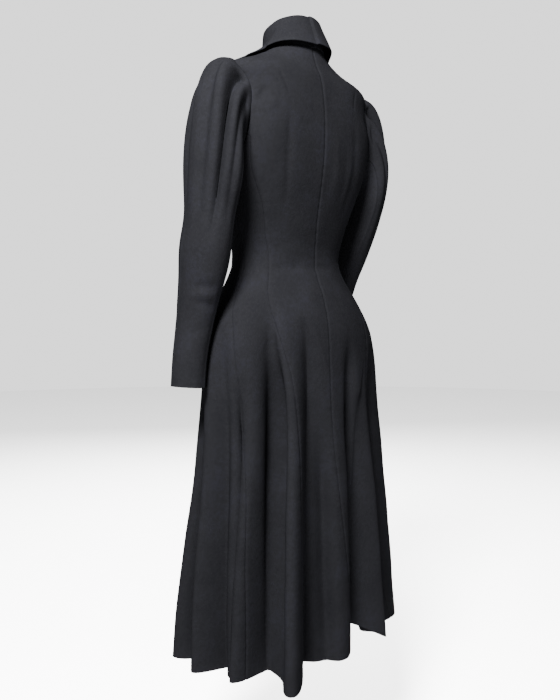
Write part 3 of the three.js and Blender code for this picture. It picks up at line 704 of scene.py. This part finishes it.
def sleeve_gathers(angle, down):
    """How deep the gathers are. down is 0 at the armhole, 1 at the cap's end and more below it."""
    depth = 0
    for middle, deep, width in GATHERS:
        away = np.clip(np.abs((angle - middle + 180) % 360 - 180) / width, 0, 1)
        depth = depth + deep * (0.5 + 0.5 * np.cos(math.pi * away))
    return depth * ramp(-down, -2, -0.5) * ramp(down, 0, 0.14)


def sleeve_ring(table, side, angle, level):
    """Points of the plain tube at a level, in its own slanting rings."""
    cosine, sine = np.cos(np.radians(angle)), np.sin(np.radians(angle))
    x = table["x"](level) + table["halfWidth"](level) * cosine
    y = table["y"](level) + table["halfDepth"](level) * sine
    return np.stack([side * x, y, level + table["slant"](level) * cosine - SHOULDER], -1)


def sleeve_face(table, side, angles, creases):
    """A sleeve's outer face in rows from the cuff to the armhole."""
    angles = angles[None, :]
    levels = spaced(CUFF, HEAD_BASE, SLEEVE_ROW_STEP)[:, None]
    cosine, sine = np.cos(np.radians(angles)), np.sin(np.radians(angles))
    tube = sleeve_ring(table, side, angles, levels)
    down_tube = 1 + (HEAD_BASE - levels) / CAP_LENGTH + 0 * angles
    shares = 1 - spaced(0, 1, HEAD_STEP, edge=(0.004, 0.01, 0.02))[1:, None]
    height = ARMHOLE_MIDDLE + (ARMHOLE_TOP - ARMHOLE_MIDDLE) * cosine
    front = ((angles + 180) % 360 - 180) < 0
    upper = (1 + cosine) / 2
    start = surface(side * armhole_edge(height, front), height, SEAM_GAP + EDGE_ROLL + 0 * height)
    end = sleeve_ring(table, side, angles, HEAD_BASE + 0 * angles)
    slope = unit(end - sleeve_ring(table, side, angles, HEAD_BASE - SLOPE_STEP + 0 * angles))
    out = np.stack(
        [
            side * (CAP_UNDER + (CAP_OUT - CAP_UNDER) * upper),
            CAP_ROUND * sine,
            CAP_DROP + (CAP_RISE - CAP_DROP) * upper,
        ],
        -1,
    )
    leave = start + out
    arrive = end + slope * (CAP_UNDER_FALL + (CAP_FALL - CAP_UNDER_FALL) * upper**0.8)[..., None]
    t = shares[..., None]
    cap = (1 - t) ** 3 * start + 3 * t * (1 - t) ** 2 * leave + 3 * t * t * (1 - t) * arrive + t**3 * end
    points = np.concatenate([tube, cap], 0)
    down = np.concatenate([down_tube, shares + 0 * angles], 0)
    lean = np.concatenate([0 * down_tube, HEAD_LEAN * upper * (1 - shares)], 0)
    below = np.concatenate([CAP_LENGTH + HEAD_BASE - levels, CAP_LENGTH * shares], 0) + 0 * angles
    aim = unit(np.stack([side * cosine + 0 * lean, sine + 0 * lean, lean], -1))
    depth = sleeve_gathers(angles, down)
    depth = depth + crease_depth(creases, angles + 0 * down, below, math.radians(1) * SLEEVE_ROUND)
    roll = HEAD_ROLL * np.exp(-((below / 4) ** 2))
    return points - aim * (depth + roll - unevenness(points) * ramp(below, 0, 40))[..., None]


def grid_normals(points, side):
    """The outward normals of a sleeve's grid."""
    return unit(np.cross(np.gradient(points, axis=1), np.gradient(points, axis=0))) * -side


def armhole_angle(height, front):
    """The angle round a sleeve where its head passes a height of the armhole."""
    share = (height - ARMHOLE_MIDDLE) / (ARMHOLE_TOP - ARMHOLE_MIDDLE)
    return math.degrees(math.acos(share)) * (-1 if front else 1)


for side_name, table, side, creases in (
    ("left", LEFT_SLEEVE, 1, LEFT_SLEEVE_CREASES),
    ("right", RIGHT_SLEEVE, -1, RIGHT_SLEEVE_CREASES),
):
    outer_seam = armhole_angle(OUTER_SEAM_HEIGHT, True)
    back_seam = armhole_angle(BACK_SEAM_HEIGHT, False)
    for part, start, end in (("top", outer_seam, back_seam), ("under", back_seam, outer_seam + 360)):
        trim = math.degrees(SEAM_TRIM / SLEEVE_ROUND)
        angles = start + trim + (end - start - 2 * trim) * across_panel(SLEEVE_COLUMNS)
        outer = sleeve_face(table, side, angles, creases)
        normal = grid_normals(outer, side)
        lengths = row_lengths(outer)
        lengths_up = row_lengths(np.swapaxes(outer, 0, 1)).T
        edges = np.minimum(lengths, lengths[:, -1:] - lengths)
        outer = outer - normal * (GROOVE_DEPTH * np.exp(-((edges / GROOVE_WIDTH) ** 2)))[..., None]
        inner = outer - normal * CLOTH
        # Paler beside the seams and at the cuff, from wear and a painted sheen.
        worn = edge_wear_and_sheen(SLEEVE_SEAM_WEAR_AND_SHEEN, edges) + CUFF_WEAR_AND_SHEEN * np.exp(-lengths_up / WEAR_AND_SHEEN_WIDTH)
        if side > 0:
            outer, inner, worn = outer[:, ::-1], inner[:, ::-1], worn[:, ::-1]
        node = f"sleeve_{part}_{side_name}"
        piece = shell("wool_" + node, outer, inner, worn)
        piece.data.materials.append(black_melton)
        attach(piece, "root")
        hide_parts(node)


# ---- The collar --------------------------------------------------------------------------------------------
# One folded strip of wool on canvas, sewn to the neckline and down the fronts as lapels. It stands round
# the neck, rolls over softly, and its fall lies clear of the shoulders. The left lapel goes under the right.
COLLAR_NAMES = ("rise", "leanOut", "turn", "drop", "off")
COLLAR_BACK = [
    # place (0 centre back, 1 side of the neck, 2 lapel's point), rise, leanOut, turn, drop, off
    (0.0, 63, -24, 0, 1, 13),
    (0.35, 62, -24, 0, 3, 14),
    (0.7, 55, -19, 1, 8, 13),
    (1.0, 43, -9, 8, 20, 7),
    (1.1, 36, -5, 26, 28, 6),
]
LEFT_LAPEL = [
    (1.2, 27, 1, 35, 34, 6),
    (1.4, 16, 6, 38, 44, 7),
    (1.6, 9, 5, 38, 56, 6.5),
    (1.8, 8, 5, 30, 66, 6),
    (2.0, 7, 5, 16, 66, 5.5),
]
RIGHT_LAPEL = [
    (1.2, 27, 1, 39, 32, 6.5),
    (1.4, 16, 6, 47, 28, 7),
    (1.6, 9, 5, 43, 23, 6.5),
    (1.8, 8, 5, 34, 10, 6),
    (2.0, 7, 5, 14, -8, 5.5),
]
LEFT_LAPEL_END, RIGHT_LAPEL_END = 1077, BREAK
NECK_ROLL, LAPEL_ROLL, FALL_STEPS, ROUNDING = 9, 4, 5, 5
NECK_SIDE = 20  # the way round the side of the neck counts as this much of the way down the front
COLLAR_STEP, NECK_STEP, NECK_SIDE_STEPS = 4, 3.0, 14
UP_REACH, OUT_REACH = 4, 3  # how many neighbours each side a direction is averaged over
COLLAR_SUNK = 1.5  # how far the collar's lower edge lies behind the neck seam
EIGHTH_TURN = 0.29  # how far an eighth of a turn falls away, as a share of its radius
COLLAR_WEAR_AND_SHEEN, COLLAR_WEAR_AND_SHEEN_MIDDLE, COLLAR_UNEVEN = 0.25, 2, 1.2


def collar_seam(end):
    """Places, angles and heights along the seam from the centre back to a lapel's point."""
    low = NECK + NECK_SIDE
    corner_angle, corner_place = float(opening_edge(NECK)), 1 + NECK_SIDE / (low - end)
    neck = np.arange(0, 90, NECK_STEP)
    side = np.linspace(90, corner_angle, NECK_SIDE_STEPS)
    heights = np.linspace(NECK, end, round((NECK - end) / COLLAR_STEP) + 1)[1:]
    place = [neck / 90, 1 + (corner_place - 1) * (side - 90) / (corner_angle - 90)]
    place.append(1 + (low - heights) / (low - end))
    angle = np.concatenate([neck, side, opening_edge(heights)])
    height = np.concatenate([0 * neck + NECK, 0 * side + NECK, heights])
    return np.concatenate(place), angle, height


def averaged(values, reach):
    """Vectors along a line, each the mean of its neighbours, as a unit vector."""
    padded = np.pad(values, ((reach, reach), (0, 0)), mode="edge")
    return unit(sum(padded[k : k + len(values)] for k in range(2 * reach + 1)))


def collar_half(end, rows, side):
    """The middle of the collar's cloth from the seam to the free edge, for each place of a half."""
    place, angle, height = collar_seam(end)
    past_back = (-COLLAR_BACK[1][0], *COLLAR_BACK[1][1:])  # the halves meet level
    table = columns(COLLAR_NAMES, [past_back] + COLLAR_BACK + rows)
    size = {name: table[name](place)[:, None] for name in COLLAR_NAMES}
    over = lap_lift if side < 0 else not_lifted
    turned_angle = side * angle
    along = np.gradient(face(turned_angle, height), axis=0)
    normal = outward(turned_angle, height) * (1, 1, 0)
    beyond = averaged(unit(np.cross(along, unit(normal))) * side, UP_REACH)
    normal = averaged(normal, OUT_REACH)
    foot = surface(turned_angle, height, over(turned_angle, height))

    def step(up, out):
        return foot + beyond * up + normal * (out - CLOTH / 2)

    rise, lean, first = size["rise"], size["leanOut"], SEAM_GAP - COLLAR_SUNK
    roll = NECK_ROLL + (LAPEL_ROLL - NECK_ROLL) * ramp(place, 0.7, 1.3)[:, None]
    roll = np.minimum(roll, rise * 0.6)
    points = [
        step(first, 0),
        step((first + rise - roll) / 2, lean * 0.3 * ramp(rise, 20, 50)),
        step(rise - roll, lean),
        step(rise - roll * EIGHTH_TURN, lean + roll * EIGHTH_TURN),
        step(rise, lean + roll),
        step(rise - roll * EIGHTH_TURN, lean + roll * (2 - EIGHTH_TURN)),
    ]
    turned = step(rise - roll, lean + 2 * roll)
    edge_angle = side * (angle - size["turn"][:, 0])
    edge_height = height - size["drop"][:, 0]
    off = size["off"][:, 0]
    edge = surface(edge_angle, edge_height, off + over(edge_angle, edge_height))
    on_coat_share = ramp(place, 0.7, 1.25)[:, None]
    for share in np.linspace(0, 1, FALL_STEPS + 1):
        a = turned_angle + (edge_angle - turned_angle) * share
        h = height + (edge_height - height) * share
        start_off = (lean + 2 * roll)[:, 0] - CLOTH / 2
        lifted = start_off + (off - start_off) * share + over(a, h)
        on_coat = surface(a, h, lifted)
        free = turned + (edge - turned) * share
        points.append(free + (on_coat - free) * on_coat_share)
    return np.stack(points, 1)


def rounded(points, steps):
    """A grid with more columns, on smooth curves through the given ones."""
    first, last = 2 * points[:, :1] - points[:, 1:2], 2 * points[:, -1:] - points[:, -2:-1]
    padded = np.concatenate([first, points, last], 1)
    p, q, r, s = (padded[:, k : k + points.shape[1] - 1, None] for k in range(4))
    t = (np.arange(steps) / steps)[None, None, :, None]
    square, cube = 2 * p - 5 * q + 4 * r - s, 3 * q - p - 3 * r + s
    curve = 0.5 * (2 * q + (r - p) * t + square * t**2 + cube * t**3)
    flat = curve.reshape(len(points), -1, 3)
    return np.concatenate([flat, points[:, -1:]], 1)


left_half = collar_half(LEFT_LAPEL_END, LEFT_LAPEL, 1)[::-1]
right_half = collar_half(RIGHT_LAPEL_END, RIGHT_LAPEL, -1)[1:]
collar = rounded(np.concatenate([left_half, right_half]), ROUNDING)
collar_normal = unit(np.cross(np.gradient(collar, axis=0), np.gradient(collar, axis=1)))
collar_length = row_lengths(collar)
to_edge = collar_length[:, -1:] - collar_length
uneven = unevenness(collar * 1.3) * COLLAR_UNEVEN * ramp(collar_length, 6, 24)
collar = collar - collar_normal * uneven[..., None]
# Paler towards the collar's outer edge, from wear and a painted sheen.
worn = edge_wear_and_sheen(COLLAR_WEAR_AND_SHEEN, to_edge, COLLAR_WEAR_AND_SHEEN_MIDDLE)
outer, inner = collar - collar_normal * CLOTH / 2, collar + collar_normal * CLOTH / 2
piece = shell("wool_collar", outer, inner, worn)
piece.data.materials.append(black_melton)
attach(piece, "root")
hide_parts("collar")


# ---- The buttons -------------------------------------------------------------------------------------------
# Six wooden moulds covered with the coat's own wool, drawn smooth over the dome and pleated under the rim.
# They close the right front over the left one, along the centre front.
BUTTON_RADIUS, BUTTON_HEIGHT, BUTTON_CLEAR, BUTTON_PLEATS = 12, 5.2, 0.5, 22
BUTTON_HEIGHTS = (956, 898, 840, 782, 724, 666)
# In a ball's radii: how far under its middle it is cut flat, the heights of the pleats, and their depth.
BUTTON_FOOT, PLEAT_TOP, PLEAT_FULL, PLEAT_DEEP = 0.45, 0.15, -0.5, 0.035
BUTTON_CONTACTS = (-15.5, -8, 0, 8, 15.5)  # heights beside a button where the front may touch it
# Drawn tight over a mould, the wool is smoother and a little less matt.
button_wool = wool("fine_black_button_wool", WOOL_DARK, WOOL_MIDDLE, "#09090a", roughness=0.85)


def started_tree(name, **inputs):
    """A new geometry tree with its own named inputs, a place, a turn and a material."""
    tree = bpy.data.node_groups.new(name, "GeometryNodeTree")
    placing = {"Place": "Vector", "Turn": "Rotation", "Material": "Material"}
    for socket, kind in {**inputs, **placing}.items():
        tree.interface.new_socket(socket, in_out="INPUT", socket_type="NodeSocket" + kind)
    tree.interface.new_socket("Geometry", in_out="OUTPUT", socket_type="NodeSocketGeometry")
    return tree, add_node(tree, "NodeGroupInput")


def finish_tree(tree, given, shape):
    """Places and turns the shape, makes it real and gives it its material."""
    placed = add_node(
        tree,
        "GeometryNodeTransform",
        {"Geometry": (shape, 0), "Translation": (given, "Place"), "Rotation": (given, "Turn")},
    )
    whole = add_node(tree, "GeometryNodeRealizeInstances", {"Geometry": (placed, 0)})
    coloured = add_node(
        tree, "GeometryNodeSetMaterial", {"Geometry": (whole, 0), "Material": (given, "Material")}
    )
    add_node(tree, "NodeGroupOutput", {"Geometry": (coloured, 0)})


def covered_button_tree():
    """A domed button with pleats under its rim, placed and turned by named inputs, in metres."""
    tree, given = started_tree("covered_button", Radius="Float", Height="Float", Pleats="Int")
    ball = add_node(tree, "GeometryNodeMeshUVSphere", {"Segments": 48, "Rings": 24, "Radius": 1.0})
    position = add_node(tree, "GeometryNodeInputPosition")
    parts = add_node(tree, "ShaderNodeSeparateXYZ", {"Vector": (position, 0)})
    turn = calculated(tree, "ARCTAN2", (parts, "Y"), (parts, "X"))
    pleats_round = calculated(tree, "MULTIPLY", (turn, 0), (given, "Pleats"))
    pleat = calculated(tree, "SINE", (pleats_round, 0))
    low_down = add_node(
        tree,
        "ShaderNodeMapRange",
        {"Value": (parts, "Z"), "From Min": PLEAT_TOP, "From Max": PLEAT_FULL, "To Max": PLEAT_DEEP},
    )
    pleated = calculated(tree, "MULTIPLY_ADD", (pleat, 0), (low_down, 0), 1.0)
    cut_flat = calculated(tree, "MAXIMUM", (parts, "Z"), -BUTTON_FOOT)
    above_foot = calculated(tree, "ADD", (cut_flat, 0), BUTTON_FOOT)
    high = calculated(tree, "MULTIPLY", (above_foot, 0), (given, "Height"))
    height = calculated(tree, "DIVIDE", (high, 0), 1 + BUTTON_FOOT)
    wide = calculated(tree, "MULTIPLY", (pleated, 0), (given, "Radius"))
    x = calculated(tree, "MULTIPLY", (parts, "X"), (wide, 0))
    y = calculated(tree, "MULTIPLY", (parts, "Y"), (wide, 0))
    to = add_node(tree, "ShaderNodeCombineXYZ", {"X": (x, 0), "Y": (y, 0), "Z": (height, 0)})
    dome = add_node(tree, "GeometryNodeSetPosition", {"Geometry": (ball, "Mesh"), "Position": (to, 0)})
    finish_tree(tree, given, dome)
    return tree


def made_by(tree, name, inputs):
    """A plain mesh object made by a node tree with its inputs set by name."""
    start = added(name + "_start", bpy.data.meshes.new(name + "_start"))
    modifier = start.modifiers.new("made", "NODES")
    modifier.node_group = tree
    sockets = {s.name: s.identifier for s in tree.interface.items_tree if s.in_out == "INPUT"}
    for key, value in inputs.items():
        modifier[sockets[key]] = value
    done = start.evaluated_get(bpy.context.evaluated_depsgraph_get())
    mesh = bpy.data.meshes.new_from_object(done)
    mesh.name = name
    bpy.data.objects.remove(start)
    mesh.polygons.foreach_set("use_smooth", np.ones(len(mesh.polygons), bool))
    return added(name, mesh)


def turned_to(normal):
    """The turn that points an object's own z along a normal."""
    return Vector(normal).to_track_quat("Z", "Y").to_euler()


button_tree = covered_button_tree()
for number, height in enumerate(BUTTON_HEIGHTS, 1):
    normal = outward(180.0, height)
    foot = surface(180.0, height, LAP)
    near = surface(180.0, height + np.array(BUTTON_CONTACTS), np.full(len(BUTTON_CONTACTS), LAP)) - foot
    middle = foot + normal * ((near @ normal).max() + BUTTON_CLEAR)
    inputs = {
        "Radius": BUTTON_RADIUS * METRE,
        "Height": BUTTON_HEIGHT * METRE,
        "Pleats": BUTTON_PLEATS,
        "Place": tuple(middle * METRE),
        "Turn": tuple(turned_to(normal)),
        "Material": button_wool,
    }
    piece = made_by(button_tree, f"covered_button_{number}", inputs)
    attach(piece, "root")
    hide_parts(f"button_{number}")


# ---- The buttonholes ---------------------------------------------------------------------------------------
# Six cut slits in the right front, one under each button, worked over in black silk twist. The stitches lie
# side by side across both edges of the slit, and the button covers the hole's far end.
HOLE_X, HOLE_STITCHES, STITCH_STEP = -19, 17, 0.95
STITCH_LENGTH, STITCH_WIDTH, SLIT_HALF, STITCH_UP = 2.4, 0.8, 1.35, 0.3
# Silk twist is a shade paler than the wool, and smoother.
silk_twist = wool("black_silk_twist", "#070708", "#09090a", "#0c0c0d", roughness=0.6)


def worked_hole_tree():
    """Two rows of stitches with a slit between them, placed and turned by named inputs, in metres."""
    tree, given = started_tree("worked_hole", Stitches="Int", Size="Vector", Start="Vector", Step="Vector")
    ball = add_node(tree, "GeometryNodeMeshUVSphere", {"Segments": 8, "Rings": 6, "Radius": 0.5})
    stitch = add_node(tree, "GeometryNodeTransform", {"Geometry": (ball, 0), "Scale": (given, "Size")})
    row = add_node(
        tree,
        "GeometryNodeMeshLine",
        {"Count": (given, "Stitches"), "Start Location": (given, "Start"), "Offset": (given, "Step")},
    )
    other_row = add_node(tree, "GeometryNodeTransform", {"Geometry": (row, 0), "Scale": (1, -1, 1)})
    rows = add_node(tree, "GeometryNodeJoinGeometry", {"Geometry": (row, 0)})
    tree.links.new(other_row.outputs[0], rows.inputs[0])
    stitches = add_node(tree, "GeometryNodeInstanceOnPoints", {"Points": (rows, 0), "Instance": (stitch, 0)})
    finish_tree(tree, given, stitches)
    return tree


hole_tree = worked_hole_tree()
for number, height in enumerate(BUTTON_HEIGHTS, 1):
    angle = -front_angle(-HOLE_X, height)
    normal = outward(angle, height)
    place = surface(angle, height, lap_lift(angle, height) + STITCH_UP)
    inputs = {
        "Stitches": HOLE_STITCHES,
        "Size": (STITCH_WIDTH * METRE, STITCH_LENGTH * METRE, STITCH_WIDTH * METRE),
        "Start": (-STITCH_STEP * (HOLE_STITCHES - 1) / 2 * METRE, SLIT_HALF * METRE, 0),
        "Step": (STITCH_STEP * METRE, 0, 0),
        "Place": tuple(place * METRE),
        "Turn": tuple(turned_to(normal)),
        "Material": silk_twist,
    }
    piece = made_by(hole_tree, f"worked_buttonhole_{number}", inputs)
    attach(piece, "root")


# ---- Camera, light and floor -------------------------------------------------------------------------------
# A white studio: an even white surround, one soft light above and to the left of the camera, and a large weak
# one in front of the coat. The camera stands behind the coat's left shoulder, level with the hips.
IMAGE_HEIGHT, FOCAL_PIXELS, HORIZON_PIXELS = 700, 730, 32
CAMERA_PLACE, CAMERA_TURN = (1.0104, 1.0787, -0.5), 138
SURROUND, PAPER = 1.7, 0.8
FLOOR_BELOW_HEM, FLOOR_RADIUS, FLOOR_SIDES = 0.32, 9, 64
lens = bpy.data.cameras.new("camera")
lens.sensor_width = 36
lens.lens = FOCAL_PIXELS / IMAGE_HEIGHT * lens.sensor_width
lens.shift_y = -HORIZON_PIXELS / IMAGE_HEIGHT
camera = added("camera", lens)
camera.location = CAMERA_PLACE
camera.rotation_euler = (math.radians(90), 0, math.radians(CAMERA_TURN))
bpy.context.scene.camera = camera


def soft_light(name, place, size, power, aim=(0, 0, -0.5)):
    """A round soft light, aimed at a place on the coat."""
    lamp = bpy.data.lights.new(name, "AREA")
    lamp.shape = "DISK"
    lamp.size = size
    lamp.energy = power
    light = added(name, lamp)
    light.location = place
    light.rotation_euler = turned_to([a - b for a, b in zip(place, aim)])


soft_light("key", (1.5, 0.95, 1.05), 0.7, 1250, aim=(0, 0, 0.1))
soft_light("front_fill", (-1.6, -2.4, 1.6), 2.0, 900)

world = bpy.data.worlds.new("white_surround")
world.use_nodes = True
background = world.node_tree.nodes["Background"].inputs
background["Color"].default_value = (1, 1, 1, 1)
background["Strength"].default_value = SURROUND
bpy.context.scene.world = world

floor_mesh = bpy.data.meshes.new("pale_floor")
floor_height = -SHOULDER * METRE - FLOOR_BELOW_HEM
turn = np.arange(FLOOR_SIDES) * 2 * math.pi / FLOOR_SIDES
ring = [(FLOOR_RADIUS * math.cos(a), FLOOR_RADIUS * math.sin(a), floor_height) for a in turn]
floor_mesh.from_pydata(ring, [], [list(range(FLOOR_SIDES))])
floor = added("pale_floor", floor_mesh)
paper = bpy.data.materials.new("matt_white_paper")
paper.use_nodes = True
paper_look = paper.node_tree.nodes["Principled BSDF"].inputs
paper_look["Base Color"].default_value = (PAPER, PAPER, PAPER, 1)
paper_look["Roughness"].default_value = 0.9
floor_mesh.materials.append(paper)
